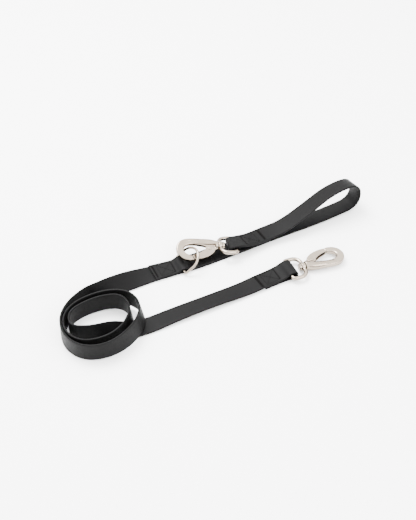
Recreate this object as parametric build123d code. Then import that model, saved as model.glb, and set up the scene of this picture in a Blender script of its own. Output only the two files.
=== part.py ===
from build123d import *
import math
import os

os.makedirs("parts", exist_ok=True)

# ---------------------------------------------------------------- strap
STRAP_W = 25.0          # webbing width
STRAP_T = 2.5           # webbing thickness
SHIFT = (-13.0, 24.2, 0.0)   # moves the layout so the box's bottom centre is the origin
ARC_SHARE = 0.45        # part of the shorter run that each corner arc uses
ARC_STEP = 15.0         # largest turn between two sections, degrees

# Route of the strap's centre line: x, y, z, then azimuth and elevation of the
# direction across the strap (towards its back or upper edge), in degrees.
ROUTE = [
    (92.5, -28.4, 6.5, 119, 0), (82, -33.4, 3.95, 122, 0), (62, -45.0, 3.95, 124, 0),
    (44, -55.3, 2.6, 122, -3), (8, -73.7, 3.6, 120, -9), (-40, -98.5, 3.2, 120, -6),
    (-68, -114, 1.8, 120, 0), (-86, -122, 2.4, 118, 4), (-99, -127.5, 5.7, 113, 20),
    (-112, -132.5, 10.0, 108, 45), (-125, -136, 12.5, 100, 71), (-141, -137.5, 12.7, 90, 90),
    (-163, -137, 12.6, 90, 90), (-167, -114, 12.6, 90, 90), (-150.5, -98, 12.9, 90, 90),
    (-127, -88, 14.6, 90, 90), (-104, -88.5, 17, 90, 90), (-89, -112, 19, 175, 80),
    (-97, -140, 18, 150, 80), (-118, -156, 15.2, 90, 90), (-146, -161.5, 12.9, 90, 90),
    (-167, -148, 12.6, 90, 90), (-173.5, -124, 12.6, 90, 90), (-165, -102, 12.6, 90, 90),
    (-146, -87.3, 13.3, 90, 90), (-122, -80, 15.6, 90, 90), (-97, -82.5, 18, 180, 82),
    (-79.5, -100, 18.6, 180, 78), (-79, -125, 17.6, 170, 77), (-94, -151, 16.6, 140, 79),
    (-118, -168, 14.6, 90, 89), (-146, -169.5, 12.9, 90, 90), (-168, -153, 12.6, 90, 90),
    (-177, -126, 12.6, 90, 90), (-170.5, -99, 12.6, 90, 90), (-153, -76.5, 12.7, 100, 88),
    (-136, -69, 12.45, 101, 68), (-118, -57.5, 10.4, 103, 46), (-100, -45.5, 7.5, 108, 28),
    (-84, -35.5, 4.6, 114, 14), (-66, -26, 2.3, 115, 4), (-43, -16.3, 1.35, 115, 0),
    (-17, -5.5, 1.35, 116, 0), (14, 11, 1.35, 119, 0), (48, 29.5, 1.35, 119, 0),
    (90, 52.5, 1.6, 118, -1), (135, 74, 2.6, 118, -5), (160, 88, 3.0, 118, -7),
    (196, 110.5, 2.9, 118, -8), (195, 109.5, 41.5, 118, -12), (159, 88.5, 42, 118, -12),
    (127, 69.5, 24.5, 118, -9), (98, 50.5, 12.6, 118, -4), (76, 40.5, 9.6, 119, 0),
    (55, 27.8, 9.9, 117, -1), (45, 21.8, 12.9, 109, -6),
]

# keys are places along ROUTE (point number plus the share of the next run)
KEY_COIL_IN = 10.5
KEY_COIL_MID = 22.5
KEY_COIL_OUT = 34.5
KEY_RING = 41.31
KEY_GRIP_START = 44.0
KEY_TURN_START = 47.5
KEY_TURN_END = 50.5

# ---------------------------------------------------------------- sewn ends
LEAD_BAR = (101.2, -25.6, 7.1)      # dog-end eye bar centre
LEAD_FOLD_PATH = [      # from the tucked-under end, round the bar and up to ROUTE's first point
    (66, -42.7, 1.25, 124, 0), (91, -28.4, 1.25, 121, 0), (101.5, -24.9, 2.6, 116, 0),
    (107.3, -22.7, 2.6, 114, 0), (107.3, -22.7, 11.5, 114, 0), (99.2, -25.8, 11.5, 116, 0),
]
GRIP_BAR = (34.6, 16.6, 10.4)       # handle-end eye bar centre
GRIP_FOLD_PATH = [
    (38, 18.6, 15.0, 104, -9), (25.8, 15.7, 15.0, 101, -9), (26.0, 15.7, 6.0, 101, -9),
    (33, 17.2, 6.0, 103, -8), (46, 22.4, 6.1, 112, -5), (55, 27.8, 7.2, 117, -1), (75, 40.1, 7.1, 119, 0),
]

# ---------------------------------------------------------------- keeper and ring
KEEPER_T = 2.0
KEEPER_HALF = 40.0      # half length of the overlay
KEEPER_GAP = 0.06
RING_WIRE = 3.2
RING_HALF = 16.2        # half width, wire centre to centre
RING_DEPTH = 28.0
RING_CORNER = 2.6
RING_SLIDE = -1.7       # how far the ring has slid along its bar, towards the strap's near edge
RING_LIFT = 38.5        # how far the ring is swung up off the strap, degrees

# ---------------------------------------------------------------- snap hook, drawn at 1/HOOK_SCALE of its size
HOOK_SCALE = 1.1
BODY_T = 5.7
RIM_R = 1.4
PIN_AT = (9.0, 4.6)
PIN_R = 1.25
PIN_HEAD_R = 2.1
TIP_SWEEP_R = 23.35     # nose tip face, about the gate's pin
GATE_END_R = 22.95      # gate end face, about the same pin
LUG_T = 3.8
LUG_R = 4.0
POCKET_T = 1.8
CHEEK_T = 0.8
STEM_R = 2.1
BORE_R = 2.15
HEAD_R = 4.1
HEAD_H = 2.7
HEAD_ROUND = 0.7
STEM_END = 4.0
BOSS_X = -1.2           # rear face of the hook
BARREL_R = 4.9
BARREL_X = (-6.3, -1.5)
EYE_WIRE = 4.7
EYE_BAR_X = -21.8
EYE_HALF = 15.3
EYE_SHOULDER = 8.5
EYE_CORNER = 3.6
SPRING_WIRE = 0.7
SPRING_LEG = 10.0
SPRING_LEG_AZ = 42.0

# spine of the hook: x, y, half width, half thickness of each section
SPINE = [
    (BOSS_X, 0.0, 5.3, 5.3), (0.8, -0.2, 5.5, 5.5), (5.0, -1.9, 5.4, 5.3), (10, -3.4, 5.0, 5.0),
    (17, -4.5, 4.5, 4.5), (24, -4.9, 4.0, 4.0), (31, -5.3, 3.6, 3.4), (37, -5.2, 3.2, 2.9),
]

LEAD_HOOK = {"bar": LEAD_BAR, "az": 20.0, "pitch": -0.6, "roll": 0.0, "eye_roll": 0.0}
GRIP_HOOK = {"bar": GRIP_BAR, "az": 190.0, "pitch": 7.0, "roll": 20.0, "eye_roll": -10.0}


# ================================================================ vector help
def vec(a):
    return Vector(*a)


def across(azimuth, elevation):
    a = math.radians(azimuth)
    e = math.radians(elevation)
    return Vector(math.cos(e) * math.cos(a), math.cos(e) * math.sin(a), math.sin(e))


def blend(a, b, f):
    return a * (1 - f) + b * f


# ================================================================ strap sections
def route_stations(route):
    """Straight runs joined by tangent arcs: list of (key, point, tangent, across)."""
    pts = [vec(r[:3]) + vec(SHIFT) for r in route]
    dirs = [across(r[3], r[4]) for r in route]
    out = []

    def add(key, point, tangent):
        i = min(int(key), len(pts) - 2)
        w = blend(dirs[i], dirs[i + 1], key - i)
        t = tangent.normalized()
        w = (w - t * w.dot(t)).normalized()
        out.append((key, point, t, w))

    add(0.0, pts[0], pts[1] - pts[0])
    for i in range(1, len(pts) - 1):
        back = pts[i - 1] - pts[i]
        ahead = pts[i + 1] - pts[i]
        la = back.length
        lb = ahead.length
        back = back.normalized()
        ahead = ahead.normalized()
        turn = math.pi - math.acos(max(-1.0, min(1.0, back.dot(ahead))))
        cut = ARC_SHARE * min(la, lb)
        if turn < 1e-4:
            add(float(i), pts[i], ahead)
            continue
        radius = cut / math.tan(turn / 2)
        bis = (back + ahead).normalized()
        centre = pts[i] + bis * math.hypot(cut, radius)
        u = (pts[i] + back * cut - centre) / radius
        v = back * -1
        steps = max(2, math.ceil(math.degrees(turn) / ARC_STEP))
        k0 = i - cut / la
        k1 = i + cut / lb
        for j in range(steps + 1):
            phi = turn * j / steps
            point = centre + (u * math.cos(phi) + v * math.sin(phi)) * radius
            tangent = v * math.cos(phi) - u * math.sin(phi)
            add(k0 + (k1 - k0) * j / steps, point, tangent)
    add(float(len(pts) - 1), pts[-1], pts[-1] - pts[-2])
    return out


def station_at(stations, key):
    """Section between two listed ones, by linear blend."""
    for a, b in zip(stations, stations[1:]):
        if a[0] <= key <= b[0]:
            f = 0.0 if b[0] == a[0] else (key - a[0]) / (b[0] - a[0])
            t = blend(a[2], b[2], f).normalized()
            w = blend(a[3], b[3], f)
            w = (w - t * w.dot(t)).normalized()
            return (key, blend(a[1], b[1], f), t, w)
    return stations[-1]


def cut_stations(stations, key_a, key_b):
    inner = [s for s in stations if key_a + 0.02 < s[0] < key_b - 0.02]
    return [station_at(stations, key_a)] + inner + [station_at(stations, key_b)]


def section(station, width, thick):
    """Rectangular section wire."""
    _, c, t, w = station
    up = w.cross(t)
    a = w * (width / 2)
    b = up * (thick / 2)
    return Wire.make_polygon([c - a - b, c + a - b, c + a + b, c - a + b], close=True)


def ribbon(stations, width=STRAP_W, thick=STRAP_T):
    return Solid.make_loft([section(s, width, thick) for s in stations], ruled=True)


def upward(station):
    """Normal of the face that looks up."""
    up = station[3].cross(station[2])
    return up if up.Z >= 0 else up * -1


def lengths(stations):
    total = [0.0]
    for a, b in zip(stations, stations[1:]):
        total.append(total[-1] + (b[1] - a[1]).length)
    return total


def at_length(stations, s):
    """Section at a distance along a list of sections."""
    total = lengths(stations)
    s = max(0.0, min(total[-1], s))
    for i in range(len(total) - 1):
        if total[i] <= s <= total[i + 1]:
            f = (s - total[i]) / max(1e-9, total[i + 1] - total[i])
            a, b = stations[i], stations[i + 1]
            t = blend(a[2], b[2], f).normalized()
            w = blend(a[3], b[3], f)
            w = (w - t * w.dot(t)).normalized()
            return (blend(a[0], b[0], f), blend(a[1], b[1], f), t, w)
    return stations[-1]


MAIN = route_stations(ROUTE)
print("strap length without folds:", round(lengths(MAIN)[-1], 1))


# ================================================================ stitching
def stitch_bar(stations, lift, s0, y0, s1, y1, wide=0.9, high=0.35):
    """Raised thread line on the top face between two (length, side) places."""
    n = max(1, math.ceil(math.hypot(s1 - s0, y1 - y0) / 4.0))
    wires = []
    for j in range(n + 1):
        f = j / n
        st = at_length(stations, s0 + (s1 - s0) * f)
        up = upward(st)
        p = st[1] + st[3] * (y0 + (y1 - y0) * f) + up * (lift + high / 2)
        run = (st[2] * (s1 - s0) + st[3] * (y1 - y0)).normalized()
        sidew = up.cross(run).normalized()
        a = sidew * (wide / 2)
        b = up * (high / 2)
        wires.append(Wire.make_polygon([p - a - b, p + a - b, p + a + b, p - a + b], close=True))
    return Solid.make_loft(wires, ruled=True)


def box_x(stations, lift, s0, s1, half, pitch=0.9):
    """Box with a cross: four sides and two diagonals that stop short of each other."""
    g = pitch
    mid = (s0 + s1) / 2
    bars = [
        (s0, -half, s0, half), (s1, -half, s1, half),
        (s0 + g, half, s1 - g, half), (s0 + g, -half, s1 - g, -half),
        (s0 + g, half - g, s1 - g, -half + g),
    ]
    k = (2 * half - 2 * g) / (s1 - s0 - 2 * g)
    bars.append((s0 + g, -half + g, mid - g, -half + g + k * (mid - s0 - 2 * g)))
    bars.append((mid + g, half - g - k * (s1 - mid - 2 * g), s1 - g, half - g))
    return [stitch_bar(stations, lift, *b) for b in bars]


def bar_tack(stations, lift, s0, half, rows=3, pitch=1.1):
    return [stitch_bar(stations, lift, s0 + r * pitch, -half, s0 + r * pitch, half) for r in range(rows)]


# ================================================================ snap hook, local frame
# +x runs from the swivel to the nose, +y is the gate side, z the thickness
def about_pin(radius, y):
    """Point at height y on a circle about the gate's pin."""
    rise = y - PIN_AT[1]
    return (PIN_AT[0] + math.sqrt(radius * radius - rise * rise), y)


def hook_sketch_outer():
    with BuildLine() as line:
        a = Line((BOSS_X, -4.8), (10.0, -7.6))
        b = Spline(a @ 1, (20, -8.8), (30, -9.6), (40, -8.4), (46.8, -2.6), (48.4, 4.6), (45.4, 12.6), (38, 17.6),
                   about_pin(TIP_SWEEP_R, 17.5))
        c = ThreePointArc(b @ 1, about_pin(TIP_SWEEP_R, 15.0), about_pin(TIP_SWEEP_R, 12.2))
        d = Spline(c @ 1, (33.5, 11.6), (37.8, 9.0), (39.9, 4.4), (37.4, 0.2), (30, -1.6), (20, -0.3), (13, 1.4))
        Polyline(d @ 1, (12.0, 7.2), (5.0, 7.2), (BOSS_X, 4.8), (BOSS_X, -4.8))
    return make_face(line.line)


def ellipse_wire(x, y, half_wide, half_high):
    """Section of the spine, square to the hook's length."""
    side = (0, 1, 0) if half_wide >= half_high else (0, 0, 1)
    plane = Plane(origin=(x, y, 0), x_dir=side, z_dir=(1, 0, 0))
    return Wire.make_ellipse(max(half_wide, half_high), min(half_wide, half_high), plane)


def gate_room():
    """Space beside the lug that the gate's two cheeks sweep."""
    x_rear = 2.2
    x_front = 19.4
    y_low = -0.2
    y_high = 17.2
    room = Pos((x_rear + x_front) / 2, (y_low + y_high) / 2, 0) * Box(x_front - x_rear, y_high - y_low, 40)
    return room - Pos(PIN_AT[0], PIN_AT[1], 0) * Box(40, 40, LUG_T)


def spring_pocket():
    """Slot in the lug for the spring's coil and leg."""
    x, y = PIN_AT
    return Pos(x, y, 0) * Cylinder(3.0, POCKET_T) + Pos(x + 4, y + 3.0, 0) * Box(9, 6, POCKET_T)


def hook_body():
    plate = extrude(Plane.XY.offset(-BODY_T / 2) * hook_sketch_outer(), BODY_T)
    rim = plate.edges().filter_by(lambda e: e.length > 30 and abs(abs(e.center().Z) - BODY_T / 2) < 0.01)
    body = fillet(rim, RIM_R) + Solid.make_loft([ellipse_wire(*row) for row in SPINE])
    pin_axis = Pos(PIN_AT[0], PIN_AT[1], 0)
    body = body - gate_room()
    body = body + pin_axis * Cylinder(LUG_R, LUG_T)
    body = body - pin_axis * Cylinder(PIN_R, 20)
    body = body - spring_pocket()
    shank = Pos((BOSS_X + STEM_END) / 2, 0, 0) * Rot(0, 90, 0) * Cylinder(STEM_R, STEM_END - BOSS_X)
    return (body - shank).scale(HOOK_SCALE)


def gate_outline():
    with BuildLine() as line:
        a = Spline((4.0, 8.6), (12.5, 14.6), (20.5, 16.8), about_pin(GATE_END_R, 17.3))
        b = ThreePointArc(a @ 1, about_pin(GATE_END_R, 15.0), about_pin(GATE_END_R, 12.6))
        c = Polyline(b @ 1, (21.0, 9.4), (14.6, 5.6))
        ThreePointArc(c @ 1, (PIN_AT[0] + 1.5, PIN_AT[1] - 3.4), (4.0, 8.6))
    return make_face(line.line)


def gate():
    """Channel-shaped lever: a web along its outside and a cheek each side of the lug."""
    inside = LUG_T + 0.3
    high = inside + 2 * CHEEK_T
    solid = extrude(Plane.XY.offset(-high / 2) * gate_outline(), high)
    hollow = Pos(-1.0, -1.5, 0) * extrude(Plane.XY.offset(-inside / 2) * gate_outline(), inside)
    root = Pos(8.5, 2.0, 0) * Box(14.0, 12.6, inside)
    body = solid - hollow - root
    body = body - Pos(PIN_AT[0], PIN_AT[1], 0) * Cylinder(PIN_R + 0.05, 20)
    return body.scale(HOOK_SCALE)


def gate_pin():
    high = LUG_T + 2 * CHEEK_T + 0.3 + 0.16
    at = Pos(PIN_AT[0], PIN_AT[1], 0)
    pin = at * Cylinder(PIN_R, high)
    for side in (1, -1):
        head = Pos(0, 0, side * (high / 2 + 0.35)) * Cylinder(PIN_HEAD_R, 0.7)
        pin = pin + at * head
    outer = pin.edges().filter_by(lambda e: abs(e.center().Z) > high / 2 + 0.6)
    return fillet(outer, 0.5).scale(HOOK_SCALE)


def gate_spring():
    radius = PIN_R + 0.45 + SPRING_WIRE / 2
    x, y = PIN_AT
    a = math.radians(SPRING_LEG_AZ)
    turn = Pos(x, y, 0) * Torus(radius, SPRING_WIRE / 2)
    mid_x = x - radius * math.sin(a) + SPRING_LEG / 2 * math.cos(a)
    mid_y = y + radius * math.cos(a) + SPRING_LEG / 2 * math.sin(a)
    leg = Pos(mid_x, mid_y, 0) * Rot(0, 0, SPRING_LEG_AZ) * Rot(0, 90, 0) * Cylinder(SPRING_WIRE / 2, SPRING_LEG)
    return (turn + leg).scale(HOOK_SCALE)


def stem():
    """Swivel stem: a shank pressed into the hook with a flat head inside the eye."""
    x_head = BARREL_X[0] - 0.2
    x_face = x_head - HEAD_H
    with BuildLine() as line:
        Polyline((STEM_END, 0), (STEM_END, STEM_R), (x_head, STEM_R), (x_head, HEAD_R),
                 (x_face + HEAD_ROUND, HEAD_R), (x_face, HEAD_R - HEAD_ROUND), (x_face, 0), (STEM_END, 0))
    return revolve(make_face(line.line), axis=Axis.X).scale(HOOK_SCALE)


def eye():
    x0 = (BARREL_X[0] + BARREL_X[1]) / 2
    h = EYE_HALF
    big = EYE_SHOULDER
    small = EYE_CORNER
    with BuildLine() as path:
        a = Line((EYE_BAR_X, 0), (EYE_BAR_X, h - small))
        b = RadiusArc(a @ 1, (EYE_BAR_X + small, h), small)
        c = Line(b @ 1, (x0 - big, h))
        d = RadiusArc(c @ 1, (x0, h - big), big)
        e = Line(d @ 1, (x0, big - h))
        f = RadiusArc(e @ 1, (x0 - big, -h), big)
        g = Line(f @ 1, (EYE_BAR_X + small, -h))
        k = RadiusArc(g @ 1, (EYE_BAR_X, small - h), small)
        Line(k @ 1, (EYE_BAR_X, 0))
    ring = swept_wire(path.line, EYE_WIRE / 2)
    barrel = Pos((BARREL_X[0] + BARREL_X[1]) / 2, 0, 0) * Rot(0, 90, 0) * Cylinder(
        BARREL_R, BARREL_X[1] - BARREL_X[0])
    body = ring + fillet(barrel.edges().filter_by(GeomType.CIRCLE), 1.0)
    body = body - Pos(x0, 0, 0) * Rot(0, 90, 0) * Cylinder(BORE_R, 12)
    return body.scale(HOOK_SCALE)


def hook_place(spec, roll):
    """Location of a hook's local frame: the bar centre sits at spec['bar']."""
    az = math.radians(spec["az"])
    pitch = math.radians(spec["pitch"])
    x = Vector(math.cos(pitch) * math.cos(az), math.cos(pitch) * math.sin(az), math.sin(pitch))
    y0 = Vector(-math.sin(az), math.cos(az), 0)
    z0 = x.cross(y0)
    r = math.radians(roll)
    y = y0 * math.cos(r) - z0 * math.sin(r)
    origin = vec(spec["bar"]) + vec(SHIFT) - x * (EYE_BAR_X * HOOK_SCALE)
    return Plane(origin=origin, x_dir=x, z_dir=x.cross(y))


def hook_parts(prefix, spec):
    body_at = hook_place(spec, spec["roll"]).location
    eye_at = hook_place(spec, spec["eye_roll"]).location
    return {
        prefix + "_eye": eye_at * eye(),
        prefix + "_stem": body_at * stem(),
        prefix + "_hook_body": body_at * hook_body(),
        prefix + "_gate": body_at * gate(),
        prefix + "_gate_pin": body_at * gate_pin(),
        prefix + "_gate_spring": body_at * gate_spring(),
    }


# ================================================================ keeper and ring
def keeper_lift(s):
    """Height of the overlay's middle above the strap's middle at a distance from the ring bar."""
    low = STRAP_T / 2 + KEEPER_GAP + KEEPER_T / 2
    high = STRAP_T / 2 + 0.2 + RING_WIRE + 0.35 + KEEPER_T / 2
    d = abs(s)
    if d <= 1.5:
        return high
    if d >= 8.0:
        return low
    f = (d - 1.5) / 6.5
    return high + (low - high) * f * f * (3 - 2 * f)


def keeper_parts():
    mid = length_at_key(MAIN, KEY_RING)
    steps = [-KEEPER_HALF, -34, -28, -22, -16, -12, -9, -8, -7, -6, -5, -4, -3, -2, -1, 0]
    steps = steps + [-s for s in reversed(steps[:-1])]
    stations = []
    for s in steps:
        st = at_length(MAIN, mid + s)
        stations.append((s, st[1] + upward(st) * keeper_lift(s), st[2], st[3]))
    keeper = ribbon_lifted(stations)
    return keeper, stations, at_length(MAIN, mid)


def ribbon_lifted(stations):
    pts = [s[1] for s in stations]
    fixed = []
    for i, s in enumerate(stations):
        a = pts[max(0, i - 1)]
        b = pts[min(len(pts) - 1, i + 1)]
        t = (b - a).normalized()
        w = (s[3] - t * s[3].dot(t)).normalized()
        fixed.append((s[0], s[1], t, w))
    return Solid.make_loft([section(s, STRAP_W, KEEPER_T) for s in fixed], ruled=True)


def length_at_key(stations, key):
    total = lengths(stations)
    for i in range(len(stations) - 1):
        a, b = stations[i][0], stations[i + 1][0]
        if a <= key <= b:
            return total[i] + (total[i + 1] - total[i]) * (key - a) / (b - a)
    return total[-1]


def ring(mid):
    _, p, t, w = mid
    up = upward(mid)
    lift = math.radians(RING_LIFT)
    out = t * math.cos(lift) + up * math.sin(lift)
    origin = p + up * (STRAP_T / 2 + 0.2 + RING_WIRE / 2) + w * RING_SLIDE
    plane = Plane(origin=origin, x_dir=out, z_dir=out.cross(w))
    r = RING_HALF
    k = RING_CORNER
    with BuildLine() as path:
        a = Line((0, 0), (0, r - k))
        b = RadiusArc(a @ 1, (k, r), k)
        c = Line(b @ 1, (RING_DEPTH - r, r))
        d = ThreePointArc(c @ 1, (RING_DEPTH, 0), (RING_DEPTH - r, -r))
        e = Line(d @ 1, (k, -r))
        f = RadiusArc(e @ 1, (0, k - r), k)
        Line(f @ 1, (0, 0))
    return plane.location * swept_wire(path.line, RING_WIRE / 2)


def swept_wire(line, radius):
    """Round wire along a closed planar line."""
    wire = Wire(line.edges()) if not isinstance(line, Wire) else line
    profile = Plane(origin=wire @ 0, z_dir=wire % 0) * Circle(radius)
    return sweep(profile, path=wire)


# ================================================================ build
def save(name, shapes):
    items = shapes if isinstance(shapes, (list, tuple)) else [shapes]
    solids = []
    for item in items:
        solids.extend(item.solids() if hasattr(item, "solids") else [item])
    whole = Compound(children=solids) if len(solids) > 1 else solids[0]
    export_step(whole, "parts/" + name + ".step")
    box = whole.bounding_box()
    print(name, len(solids), "solids", [round(v, 1) for v in (*box.min, *box.max)], round(whole.volume, 1))


def build():
    fold_lead = route_stations(LEAD_FOLD_PATH)
    fold_grip = route_stations(GRIP_FOLD_PATH)
    save("strap_lead", ribbon(cut_stations(MAIN, 0, KEY_COIL_IN)))
    save("strap_coil_inner", ribbon(cut_stations(MAIN, KEY_COIL_IN, KEY_COIL_MID)))
    save("strap_coil_outer", ribbon(cut_stations(MAIN, KEY_COIL_MID, KEY_COIL_OUT)))
    save("strap_mid", ribbon(cut_stations(MAIN, KEY_COIL_OUT, KEY_GRIP_START)))
    save("strap_grip_lower", ribbon(cut_stations(MAIN, KEY_GRIP_START, KEY_TURN_START)))
    save("strap_grip_turn", ribbon(cut_stations(MAIN, KEY_TURN_START, KEY_TURN_END)))
    save("strap_grip_upper", ribbon(cut_stations(MAIN, KEY_TURN_END, len(ROUTE) - 1)))
    save("strap_lead_fold", ribbon(fold_lead + [MAIN[0]]))
    save("strap_grip_fold", ribbon([MAIN[-1]] + fold_grip))

    keeper, keeper_stations, mid = keeper_parts()
    save("ring_keeper", keeper)
    save("d_ring", ring(mid))

    top = STRAP_T / 2 + 0.03
    kt = KEEPER_T / 2 + 0.03
    save("stitch_lead", box_x(MAIN, top, 8, 27, 9.5) + bar_tack(MAIN, top, 33, 10.5))
    end = lengths(MAIN)[-1]
    save("stitch_grip", box_x(MAIN, top, end - 20, end - 1, 9.5) + bar_tack(MAIN, top, end - 29, 10.5))
    save("stitch_keeper_coil_side", box_x(keeper_stations, kt, 9, 28, 9.5) + bar_tack(keeper_stations, kt, 3, 10.5))
    kl = lengths(keeper_stations)[-1]
    save("stitch_keeper_grip_side",
         box_x(keeper_stations, kt, kl - 28, kl - 9, 9.5) + bar_tack(keeper_stations, kt, kl - 5.2, 10.5))

    for prefix, spec in (("lead", LEAD_HOOK), ("grip", GRIP_HOOK)):
        for name, shape in hook_parts(prefix, spec).items():
            save(name, shape)


build()
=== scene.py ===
import math

import bmesh
import bpy
import numpy as np
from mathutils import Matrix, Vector


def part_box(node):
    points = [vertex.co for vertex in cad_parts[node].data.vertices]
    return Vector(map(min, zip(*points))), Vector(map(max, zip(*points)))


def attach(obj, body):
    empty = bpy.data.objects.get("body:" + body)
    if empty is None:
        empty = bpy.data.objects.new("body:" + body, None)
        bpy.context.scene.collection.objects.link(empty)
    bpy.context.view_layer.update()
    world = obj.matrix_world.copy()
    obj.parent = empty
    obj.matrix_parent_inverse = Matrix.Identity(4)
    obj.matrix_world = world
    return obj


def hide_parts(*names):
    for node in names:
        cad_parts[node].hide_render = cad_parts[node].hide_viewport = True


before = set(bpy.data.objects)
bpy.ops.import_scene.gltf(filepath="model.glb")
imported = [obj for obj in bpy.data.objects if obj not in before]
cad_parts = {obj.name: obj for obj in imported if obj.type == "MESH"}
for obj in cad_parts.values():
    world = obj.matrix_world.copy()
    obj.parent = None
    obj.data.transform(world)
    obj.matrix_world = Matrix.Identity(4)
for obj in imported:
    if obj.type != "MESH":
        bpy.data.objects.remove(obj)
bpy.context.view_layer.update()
scene = bpy.context.scene

# ---------------------------------------------------------------- sizes, metres
STRAP_W = 0.025
STRAP_T = 0.0024
EDGE_R = 0.0008           # rounding of the strap's edges
EDGE_STEP = 22.5          # degrees between the points of a rounded edge
FLAT_PLACES = (-0.75, -0.4, 0.0, 0.4, 0.75)   # points on a flat face, as parts of its half width
LOWEST = 0.00005          # height under which no webbing reaches
LAYOUT = Vector((-0.013, 0.0242, 0))   # the route's own origin, in the frame
SPLINE_STEPS = 12         # points on each span of a route's spline
CUT_POINT = 22            # the two halves of the strap meet near this point of ROUTE, in the coil
RING_WIRE = 0.0032

# ---------------------------------------------------------------- camera
VIEW_LIFT = math.radians(44)
VIEW_FAR = 1.5
VIEW_LENS = 81.4


def make_camera():
    data = bpy.data.cameras.new("camera")
    data.lens = VIEW_LENS
    data.sensor_width = 36
    obj = bpy.data.objects.new("camera", data)
    scene.collection.objects.link(obj)
    back = Vector((0, -math.cos(VIEW_LIFT), math.sin(VIEW_LIFT)))
    obj.location = LAYOUT + back * VIEW_FAR
    obj.rotation_mode = "QUATERNION"
    obj.rotation_quaternion = (-back).to_track_quat("-Z", "Y")
    scene.camera = obj


make_camera()

# ---------------------------------------------------------------- strap route
# x, y, z in metres, then azimuth and elevation of the direction across the strap, in degrees
LEAD_FOLD_PATH = [
    (0.066, -0.0427, 0.00125, 124, 0), (0.091, -0.0284, 0.00125, 121, 0),
    (0.1015, -0.0249, 0.0026, 116, 0), (0.1073, -0.0227, 0.0026, 114, 0),
    (0.1073, -0.0227, 0.0115, 114, 0), (0.0992, -0.0258, 0.0115, 116, 0),
]
ROUTE = [
    (0.0925, -0.0284, 0.0065, 119, 0), (0.082, -0.0334, 0.00395, 122, 0),
    (0.062, -0.045, 0.00395, 124, 0), (0.044, -0.0553, 0.0026, 122, -3),
    (0.008, -0.0737, 0.0036, 120, -9), (-0.04, -0.0985, 0.0032, 120, -6),
    (-0.068, -0.114, 0.0018, 120, 0), (-0.086, -0.122, 0.0024, 118, 4),
    (-0.099, -0.1275, 0.0057, 113, 20), (-0.112, -0.1325, 0.01, 108, 45),
    (-0.125, -0.136, 0.0125, 100, 71), (-0.141, -0.1375, 0.0127, 90, 90),
    (-0.163, -0.137, 0.0126, 90, 90), (-0.167, -0.114, 0.0126, 90, 90), (-0.1505, -0.098, 0.0129, 90, 90),
    (-0.127, -0.088, 0.0146, 90, 90), (-0.104, -0.0885, 0.017, 90, 90), (-0.089, -0.112, 0.019, 175, 80),
    (-0.097, -0.14, 0.018, 150, 80), (-0.118, -0.156, 0.0152, 90, 90), (-0.146, -0.1615, 0.0129, 90, 90),
    (-0.167, -0.148, 0.0126, 90, 90), (-0.1735, -0.124, 0.0126, 90, 90), (-0.165, -0.102, 0.0126, 90, 90),
    (-0.146, -0.0873, 0.0133, 90, 90), (-0.122, -0.08, 0.0156, 90, 90), (-0.097, -0.0825, 0.018, 180, 82),
    (-0.0795, -0.1, 0.0186, 180, 78), (-0.079, -0.125, 0.0176, 170, 77),
    (-0.094, -0.151, 0.0166, 140, 79), (-0.118, -0.168, 0.0146, 90, 89),
    (-0.146, -0.1695, 0.0129, 90, 90), (-0.168, -0.153, 0.0126, 90, 90), (-0.177, -0.126, 0.0126, 90, 90),
    (-0.1705, -0.099, 0.0126, 90, 90), (-0.153, -0.0765, 0.0127, 100, 88),
    (-0.136, -0.069, 0.01245, 101, 68), (-0.118, -0.0575, 0.0104, 103, 46),
    (-0.1, -0.0455, 0.0075, 108, 28), (-0.084, -0.0355, 0.0046, 114, 14),
    (-0.066, -0.026, 0.0023, 115, 4), (-0.043, -0.0163, 0.00135, 115, 0),
    (-0.017, -0.0055, 0.00135, 116, 0), (0.014, 0.011, 0.00135, 119, 0), (0.048, 0.0295, 0.00135, 119, 0),
    (0.09, 0.0525, 0.0016, 118, -1), (0.135, 0.074, 0.0026, 118, -5), (0.16, 0.088, 0.003, 118, -7),
    (0.196, 0.1105, 0.0029, 118, -8), (0.195, 0.1095, 0.0415, 118, -12), (0.159, 0.0885, 0.042, 118, -12),
    (0.127, 0.0695, 0.0245, 118, -9), (0.098, 0.0505, 0.0126, 118, -4), (0.076, 0.0405, 0.0096, 119, 0),
    (0.055, 0.0278, 0.0099, 117, -1), (0.045, 0.0218, 0.0129, 109, -6),
]
GRIP_FOLD_PATH = [
    (0.038, 0.0186, 0.015, 104, -9), (0.0258, 0.0157, 0.015, 101, -9), (0.026, 0.0157, 0.006, 101, -9),
    (0.033, 0.0172, 0.006, 103, -8), (0.046, 0.0224, 0.0061, 112, -5), (0.055, 0.0278, 0.0072, 117, -1),
    (0.075, 0.0401, 0.0071, 119, 0),
]


def spline_points(points):
    """Points along the NURBS spline that has the given control points."""
    data = bpy.data.curves.new("route", "CURVE")
    data.dimensions = "3D"
    data.resolution_u = SPLINE_STEPS
    spline = data.splines.new("NURBS")
    spline.points.add(len(points) - 1)
    for place, point in zip(spline.points, points):
        place.co = (*point, 1)
    spline.order_u = 3
    spline.use_endpoint_u = True
    holder = bpy.data.objects.new("route", data)
    scene.collection.objects.link(holder)
    mesh = bpy.data.meshes.new_from_object(holder)
    line = np.array([v.co for v in mesh.vertices], float)
    bpy.data.objects.remove(holder)
    bpy.data.meshes.remove(mesh)
    return line


def unit(a):
    return a / np.linalg.norm(a, axis=1, keepdims=True)


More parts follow.
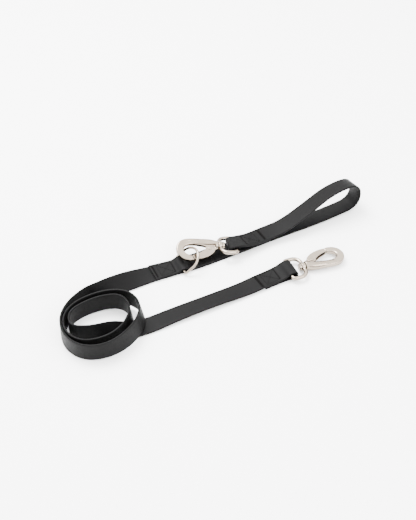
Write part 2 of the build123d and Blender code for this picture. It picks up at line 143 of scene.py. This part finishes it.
class Strap:
    """Sections along a strap: middle, run, across and face directions, and length so far."""

    def __init__(self, mid, across):
        self.mid = mid
        self.run = unit(np.gradient(mid, axis=0))
        across = across - self.run * (across * self.run).sum(1, keepdims=True)
        self.across = unit(across)
        self.face = np.cross(self.run, self.across)
        step = np.linalg.norm(np.diff(mid, axis=0), axis=1)
        self.length = np.concatenate([[0], np.cumsum(step)])

    def at(self, s):
        """Middle, run, across and the face direction that looks up, at length s."""
        def mixed(rows):
            return np.array([np.interp(s, self.length, rows[:, i]) for i in range(3)])
        face = mixed(self.face)
        face = face / np.linalg.norm(face)
        if face[2] < 0:
            face = -face
        run = mixed(self.run)
        across = mixed(self.across)
        return mixed(self.mid), run / np.linalg.norm(run), across / np.linalg.norm(across), face

    def cut(self, lo, hi):
        part = Strap.__new__(Strap)
        for name in ("mid", "run", "across", "face", "length"):
            setattr(part, name, getattr(self, name)[lo:hi])
        return part


def route_strap(rows):
    mid = [Vector(r[:3]) + LAYOUT for r in rows]
    side = []
    for point, (_, _, _, azimuth, elevation) in zip(mid, rows):
        a = math.radians(azimuth)
        e = math.radians(elevation)
        out = Vector((math.cos(e) * math.cos(a), math.cos(e) * math.sin(a), math.sin(e)))
        side.append(point + out * STRAP_W / 2)
    centre = spline_points(mid)
    return Strap(centre, spline_points(side) - centre)


def section(width, thick):
    """Outline of a strap's section: (across, face) pairs, rounded at the four corners."""
    half = width / 2
    flat = half - EDGE_R
    high = thick / 2 - EDGE_R

    def edge(x, y, start):
        turns = [math.radians(start - k * EDGE_STEP) for k in range(5)]
        return [(x + EDGE_R * math.cos(a), y + EDGE_R * math.sin(a)) for a in turns]

    top = [(f * flat, thick / 2) for f in FLAT_PLACES]
    bottom = [(f * flat, -thick / 2) for f in reversed(FLAT_PLACES)]
    right = edge(flat, high, 90) + edge(flat, -high, 0)
    left = edge(-flat, -high, 270) + edge(-flat, high, 180)
    return top + right + bottom + left


def new_piece(name, mesh, body, material):
    obj = bpy.data.objects.new(name, mesh)
    scene.collection.objects.link(obj)
    mesh.materials.clear()
    mesh.materials.append(material)
    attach(obj, body)
    return obj


def ribbon_mesh(name, strap, width, thick):
    """Closed strap mesh; its UVs are lengths along and round it, in metres."""
    outline = section(width, thick)
    n = len(outline)
    rings = []
    for mid, across, face in zip(strap.mid, strap.across, strap.face):
        for a, b in outline:
            p = mid + across * a + face * b
            rings.append((p[0], p[1], max(p[2], LOWEST)))
    count = len(strap.mid)
    faces = []
    for i in range(count - 1):
        for k in range(n):
            m = (k + 1) % n
            faces.append((i * n + k, (i + 1) * n + k, (i + 1) * n + m, i * n + m))
    faces.append(tuple(range(n)))
    faces.append(tuple(reversed(range((count - 1) * n, count * n))))
    mesh = bpy.data.meshes.new(name)
    mesh.from_pydata(rings, [], faces)
    around = [0.0]
    for a, b in zip(outline, outline[1:] + outline[:1]):
        around.append(around[-1] + math.dist(a, b))
    uv = mesh.uv_layers.new(name="UVMap")
    for face in mesh.polygons[: (count - 1) * n]:
        i, k = divmod(face.index, n)
        places = ((i, k), (i + 1, k), (i + 1, k + 1), (i, k + 1))
        for loop, (row, col) in zip(face.loop_indices, places):
            uv.data[loop].uv = (strap.length[row], around[col])
    mesh.shade_smooth()
    return mesh


# ---------------------------------------------------------------- materials
WEBBING_DARK = (0.0009, 0.0009, 0.00095, 1)
WEBBING_LIGHT = (0.0018, 0.00175, 0.0018, 1)
THREAD_DARK = (0.0004, 0.00035, 0.0003, 1)
THREAD_LIGHT = (0.0012, 0.0010, 0.0009, 1)
NICKEL_DARK = (0.235, 0.195, 0.155, 1)
NICKEL_LIGHT = (0.285, 0.24, 0.195, 1)
SPRING_DARK = (0.14, 0.105, 0.08, 1)
SPRING_LIGHT = (0.18, 0.135, 0.105, 1)


def new_material(name):
    material = bpy.data.materials.new(name)
    material.use_nodes = True
    tree = material.node_tree
    return material, tree, tree.nodes["Principled BSDF"]


def node(tree, kind, **values):
    made = tree.nodes.new(kind)
    for key, value in values.items():
        if key in made.inputs:
            made.inputs[key].default_value = value
        else:
            setattr(made, key, value)
    return made


def ramp(tree, source, low, high, low_at=0.3, high_at=0.7):
    made = node(tree, "ShaderNodeValToRGB")
    made.color_ramp.elements[0].position = low_at
    made.color_ramp.elements[1].position = high_at
    made.color_ramp.elements[0].color = low
    made.color_ramp.elements[1].color = high
    tree.links.new(source, made.inputs[0])
    return made.outputs[0]


def grey(value):
    return (value, value, value, 1)


def webbing_material():
    """Coated flat webbing: a fine rib across it, a faint warp along it, and light handling marks."""
    material, tree, shader = new_material("webbing")
    link = tree.links.new
    place = node(tree, "ShaderNodeUVMap")
    rib = node(tree, "ShaderNodeTexWave", Scale=230.0, Distortion=0.6, Detail=1.0)
    rib.inputs["Detail Scale"].default_value = 60.0
    rib.bands_direction = "X"
    warp = node(tree, "ShaderNodeTexWave", Scale=310.0, Distortion=0.4, Detail=1.0)
    warp.bands_direction = "Y"
    link(place.outputs[0], rib.inputs[0])
    link(place.outputs[0], warp.inputs[0])
    weave = node(tree, "ShaderNodeMath", operation="MULTIPLY")
    link(rib.outputs["Fac"], weave.inputs[0])
    link(warp.outputs["Fac"], weave.inputs[1])
    spots = node(tree, "ShaderNodeTexNoise", Scale=38.0, Detail=4.0, Roughness=0.6)
    grain = node(tree, "ShaderNodeTexNoise", Scale=900.0, Detail=2.0)
    solid = node(tree, "ShaderNodeTexCoord")
    link(solid.outputs["Object"], spots.inputs["Vector"])
    link(solid.outputs["Object"], grain.inputs["Vector"])
    tint = ramp(tree, spots.outputs["Fac"], WEBBING_DARK, WEBBING_LIGHT)
    dark = ramp(tree, weave.outputs[0], grey(0.80), grey(1.0), 0.0, 0.6)
    colour = node(tree, "ShaderNodeMix", data_type="RGBA", blend_type="MULTIPLY")
    colour.inputs["Factor"].default_value = 1.0
    link(tint, colour.inputs["A"])
    link(dark, colour.inputs["B"])
    link(colour.outputs["Result"], shader.inputs["Base Color"])
    rough = ramp(tree, spots.outputs["Fac"], grey(0.50), grey(0.62))
    link(rough, shader.inputs["Roughness"])
    height = node(tree, "ShaderNodeMath", operation="MULTIPLY_ADD")
    height.inputs[1].default_value = 0.25
    link(grain.outputs["Fac"], height.inputs[0])
    link(weave.outputs[0], height.inputs[2])
    bump = node(tree, "ShaderNodeBump", Strength=0.35, Distance=0.00012)
    link(height.outputs[0], bump.inputs["Height"])
    link(bump.outputs[0], shader.inputs["Normal"])
    shader.inputs["Sheen Weight"].default_value = 0.005
    shader.inputs["Sheen Roughness"].default_value = 0.45
    shader.inputs["Specular IOR Level"].default_value = 0.065
    return material


def thread_material():
    """Bonded black thread: twisted plies, slightly brown where the light catches it."""
    material, tree, shader = new_material("thread")
    solid = node(tree, "ShaderNodeTexCoord")
    ply = node(tree, "ShaderNodeTexWave", Scale=420.0, Distortion=1.5)
    ply.bands_direction = "DIAGONAL"
    tree.links.new(solid.outputs["Object"], ply.inputs[0])
    colour = ramp(tree, ply.outputs["Fac"], THREAD_DARK, THREAD_LIGHT)
    tree.links.new(colour, shader.inputs["Base Color"])
    bump = node(tree, "ShaderNodeBump", Strength=0.5, Distance=0.0001)
    tree.links.new(ply.outputs["Fac"], bump.inputs["Height"])
    tree.links.new(bump.outputs[0], shader.inputs["Normal"])
    shader.inputs["Roughness"].default_value = 0.7
    shader.inputs["Specular IOR Level"].default_value = 0.05
    return material


def metal_material(name, low, high, rough_low, rough_high):
    """Plated cast metal: faint tint changes, soft casting waves and fine tumbling marks."""
    material, tree, shader = new_material(name)
    link = tree.links.new
    solid = node(tree, "ShaderNodeTexCoord")
    broad = node(tree, "ShaderNodeTexNoise", Scale=60.0, Detail=3.0)
    fine = node(tree, "ShaderNodeTexNoise", Scale=1600.0, Detail=3.0, Roughness=0.7)
    link(solid.outputs["Object"], broad.inputs["Vector"])
    link(solid.outputs["Object"], fine.inputs["Vector"])
    link(ramp(tree, broad.outputs["Fac"], low, high), shader.inputs["Base Color"])
    link(ramp(tree, fine.outputs["Fac"], grey(rough_low), grey(rough_high)), shader.inputs["Roughness"])
    height = node(tree, "ShaderNodeMath", operation="MULTIPLY_ADD")
    height.inputs[1].default_value = 0.15
    link(fine.outputs["Fac"], height.inputs[0])
    link(broad.outputs["Fac"], height.inputs[2])
    bump = node(tree, "ShaderNodeBump", Strength=0.4, Distance=0.00003)
    link(height.outputs[0], bump.inputs["Height"])
    link(bump.outputs[0], shader.inputs["Normal"])
    shader.inputs["Metallic"].default_value = 1.0
    return material


WEBBING = webbing_material()
THREAD = thread_material()
NICKEL = metal_material("nickel", NICKEL_DARK, NICKEL_LIGHT, 0.16, 0.26)
SPRING = metal_material("spring", SPRING_DARK, SPRING_LIGHT, 0.35, 0.5)

# ---------------------------------------------------------------- the strap, one line cut at the coil
WHOLE_PATH = LEAD_FOLD_PATH + ROUTE + GRIP_FOLD_PATH
WHOLE = route_strap(WHOLE_PATH)
CUT = len(WHOLE.mid) * (len(LEAD_FOLD_PATH) + CUT_POINT) // len(WHOLE_PATH)
LEAD_PART = WHOLE.cut(0, CUT + 1)
GRIP_PART = WHOLE.cut(CUT, len(WHOLE.mid))


def strap_piece(name, strap, nodes):
    mesh = ribbon_mesh(name, strap, STRAP_W, STRAP_T)
    obj = new_piece(name, mesh, "strap", WEBBING)
    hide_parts(*nodes)


strap_piece("webbing_lead_half", LEAD_PART,
            ("strap_lead_fold", "strap_lead", "strap_coil_inner"))
strap_piece("webbing_grip_half", GRIP_PART,
            ("strap_coil_outer", "strap_mid", "strap_grip_lower", "strap_grip_turn", "strap_grip_upper",
             "strap_grip_fold"))


# ---------------------------------------------------------------- keeper
KEEPER_T = 0.0019
KEEPER_HALF = 0.040
KEEPER_GAP = 0.00012      # between the keeper and the strap where it is sewn down
RING_GAP = 0.0005         # spare height over the ring's bar
BULGE_TOP = 0.0010        # half length of the flat top of the bulge
BULGE_RAMP = 0.0090       # length over which the bulge comes down
KEEPER_SECTIONS = 97


def nearest_length(strap, point):
    gap = np.linalg.norm(strap.mid - np.array(point), axis=1)
    return float(strap.length[gap.argmin()])


def keeper_strap(strap, middle):
    """Overlay that follows the strap and bulges over the ring's straight bar."""
    low = STRAP_T / 2 + KEEPER_T / 2 + KEEPER_GAP
    high = STRAP_T / 2 + KEEPER_T / 2 + RING_WIRE + RING_GAP
    mid = []
    across = []
    for s in np.linspace(-KEEPER_HALF, KEEPER_HALF, KEEPER_SECTIONS):
        p, _, side, face = strap.at(middle + s)
        f = min(max((abs(s) - BULGE_TOP) / BULGE_RAMP, 0), 1)
        rise = high + (low - high) * f * f * (3 - 2 * f)
        mid.append(p + face * rise)
        across.append(side)
    return Strap(np.array(mid), np.array(across))


RING_MID = (Vector(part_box("ring_keeper")[0]) + Vector(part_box("ring_keeper")[1])) / 2
RING_AT = nearest_length(GRIP_PART, RING_MID)
KEEPER = keeper_strap(GRIP_PART, RING_AT)
keeper = new_piece("keeper_overlay", ribbon_mesh("keeper_overlay", KEEPER, STRAP_W, KEEPER_T),
                   "strap", WEBBING)
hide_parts("ring_keeper")


# ---------------------------------------------------------------- stitching
THREAD_R = 0.00030
STITCH = 0.0026
BOX_HALF = 0.0095         # half width of a sewn box
TACK_W = 0.0030           # a bar-tack's size along the strap
DENSE_W = 0.0012          # the same of the narrow tack at a box's end
TACK_PITCH = 0.00065
TACK_SLANT = 0.0003
ROUND_SIDES = 8           # points round a stitch


def capsule(bm, a, b, up, radius):
    """Rounded stitch from a to b, half sunk in the face."""
    along = b - a
    long = np.linalg.norm(along)
    along = along / long
    side = np.cross(up, along)
    rings = []
    for f in (0.0, 0.12, 0.3, 0.5, 0.7, 0.88, 1.0):
        bow = math.sin(math.pi * f) ** 0.5 if 0 < f < 1 else 0.0
        r = radius * (0.35 + 0.65 * bow)
        centre = a + along * long * f + up * radius * (0.9 * bow - 0.7)
        rings.append([
            bm.verts.new(centre + side * r * math.cos(t) + up * r * math.sin(t))
            for t in np.linspace(0, 2 * math.pi, ROUND_SIDES, endpoint=False)
        ])
    for low, high in zip(rings, rings[1:]):
        for k in range(ROUND_SIDES):
            m = (k + 1) % ROUND_SIDES
            bm.faces.new((low[k], low[m], high[m], high[k]))
    bm.faces.new(list(reversed(rings[0])))
    bm.faces.new(rings[-1])


def on_face(strap, s, y, thick):
    p, _, across, face = strap.at(s)
    return p + across * y + face * thick / 2, face


def sew_line(bm, strap, thick, s0, y0, s1, y1):
    """Row of stitches between two (length, side) places."""
    count = max(1, round(math.hypot(s1 - s0, y1 - y0) / STITCH))
    for k in range(count):
        ends = []
        for f in ((k + 0.06) / count, (k + 0.94) / count):
            ends.append(on_face(strap, s0 + (s1 - s0) * f, y0 + (y1 - y0) * f, thick))
        capsule(bm, ends[0][0], ends[1][0], ends[0][1], THREAD_R)


def sew_box(bm, strap, thick, s0, s1, half):
    for row in ((s0, -half, s0, half), (s1, -half, s1, half), (s0, half, s1, half), (s0, -half, s1, -half),
                (s0, -half, s1, half), (s0, half, s1, -half)):
        sew_line(bm, strap, thick, *row)


def sew_tack(bm, strap, thick, s0, half, wide):
    """Bar-tack: dense short stitches side by side across the strap."""
    count = round(2 * half / TACK_PITCH)
    for k in range(count):
        y = -half + 2 * half * (k + 0.5) / count
        slant = TACK_SLANT if k % 2 else -TACK_SLANT
        a, face = on_face(strap, s0 - wide / 2, y + slant, thick)
        b, _ = on_face(strap, s0 + wide / 2, y - slant, thick)
        capsule(bm, a, b, face, THREAD_R)


def sewn(name, node_name, strap, thick, box, dense, tack, tack_wide=TACK_W):
    """A crossed box with a narrow tack at one end and a wider bar-tack apart from it, as one piece."""
    bm = bmesh.new()
    sew_box(bm, strap, thick, box[0], box[1], BOX_HALF)
    sew_tack(bm, strap, thick, dense, BOX_HALF, DENSE_W)
    sew_tack(bm, strap, thick, tack, BOX_HALF + 0.001, tack_wide)
    mesh = bpy.data.meshes.new(name)
    bm.to_mesh(mesh)
    bm.free()
    mesh.shade_smooth()
    obj = new_piece(name, mesh, "strap", THREAD)
    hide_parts(node_name)


LEAD_START = nearest_length(LEAD_PART, Vector(ROUTE[0][:3]) + LAYOUT)
GRIP_END = nearest_length(GRIP_PART, Vector(ROUTE[-1][:3]) + LAYOUT)
sewn("thread_lead", "stitch_lead", LEAD_PART, STRAP_T,
     (LEAD_START + 0.008, LEAD_START + 0.027), LEAD_START + 0.0072, LEAD_START + 0.0335, 0.0045)
sewn("thread_grip", "stitch_grip", GRIP_PART, STRAP_T,
     (GRIP_END - 0.020, GRIP_END - 0.001), GRIP_END - 0.0005, GRIP_END - 0.028, 0.0042)
KEEPER_LONG = float(KEEPER.length[-1])
sewn("thread_keeper_coil_side", "stitch_keeper_coil_side", KEEPER, KEEPER_T, (0.009, 0.028), 0.0285, 0.0035)
sewn("thread_keeper_grip_side", "stitch_keeper_grip_side", KEEPER, KEEPER_T,
     (KEEPER_LONG - 0.028, KEEPER_LONG - 0.009), KEEPER_LONG - 0.0285, KEEPER_LONG - 0.0035)


# ---------------------------------------------------------------- metal
WELD = 1e-6               # points nearer than this are one point


def softened(name, node_name, body, voxel, rounds):
    """Copy of a CAD node with its corners and joins eased, as cast and tumbled metal has."""
    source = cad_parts[node_name]
    bm = bmesh.new()
    bm.from_mesh(source.data)
    bmesh.ops.remove_doubles(bm, verts=bm.verts, dist=WELD)
    mesh = bpy.data.meshes.new(name)
    bm.to_mesh(mesh)
    bm.free()
    holder = bpy.data.objects.new(name + ".tmp", mesh)
    scene.collection.objects.link(holder)
    remesh = holder.modifiers.new("remesh", "REMESH")
    remesh.mode = "VOXEL"
    remesh.voxel_size = voxel
    smooth = holder.modifiers.new("smooth", "SMOOTH")
    smooth.factor = 0.5
    smooth.iterations = rounds
    shown = holder.evaluated_get(bpy.context.evaluated_depsgraph_get())
    result = bpy.data.meshes.new_from_object(shown)
    bpy.data.objects.remove(holder)
    result.shade_smooth()
    obj = new_piece(name, result, body, NICKEL)
    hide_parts(node_name)


for end in ("lead", "grip"):
    softened(end + "_eye_cast", end + "_eye", end + "_eye", 0.00035, 5)
    softened(end + "_body_cast", end + "_hook_body", end + "_hook", 0.00034, 14)
    softened(end + "_gate_pressed", end + "_gate", end + "_gate", 0.00024, 3)
softened("d_ring_wire", "d_ring", "ring", 0.00028, 4)

for name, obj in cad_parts.items():
    if name.endswith(("_stem", "_gate_pin")):
        obj.data.materials.clear()
        obj.data.materials.append(NICKEL)
    elif name.endswith("_spring"):
        obj.data.materials.clear()
        obj.data.materials.append(SPRING)


# ---------------------------------------------------------------- floor and light
FLOOR_HALF = 3
WORLD_STRENGTH = 6.2


def make_floor():
    h = FLOOR_HALF
    mesh = bpy.data.meshes.new("floor")
    mesh.from_pydata([(-h, -h, 0), (h, -h, 0), (h, h, 0), (-h, h, 0)], [], [(0, 1, 2, 3)])
    material, _, shader = new_material("floor")
    shader.inputs["Base Color"].default_value = (0.94, 0.94, 0.94, 1)
    shader.inputs["Roughness"].default_value = 0.9
    shader.inputs["Specular IOR Level"].default_value = 0.1
    mesh.materials.append(material)
    floor = bpy.data.objects.new("floor", mesh)
    scene.collection.objects.link(floor)


def make_light(name, place, size, power):
    """Round soft light that points at the frame's origin."""
    data = bpy.data.lights.new(name, "AREA")
    data.shape = "DISK"
    data.size = size
    data.energy = power
    obj = bpy.data.objects.new(name, data)
    obj.location = place
    obj.rotation_mode = "QUATERNION"
    obj.rotation_quaternion = (-Vector(place)).to_track_quat("-Z", "Y")
    scene.collection.objects.link(obj)


def make_world():
    """White studio: bright overhead, dimmer towards the horizon."""
    world = bpy.data.worlds.new("studio")
    world.use_nodes = True
    tree = world.node_tree
    place = node(tree, "ShaderNodeTexCoord")
    split = node(tree, "ShaderNodeSeparateXYZ")
    tree.links.new(place.outputs["Generated"], split.inputs[0])
    sky = ramp(tree, split.outputs["Z"], grey(0.10), grey(1.0), 0.05, 0.60)
    tree.links.new(sky, tree.nodes["Background"].inputs["Color"])
    tree.nodes["Background"].inputs["Strength"].default_value = WORLD_STRENGTH
    scene.world = world


make_floor()
make_light("key", (-0.5, 0.5, 1.4), 0.9, 85)
make_light("fill", (1.0, -0.9, 1.1), 1.2, 30)
make_world()
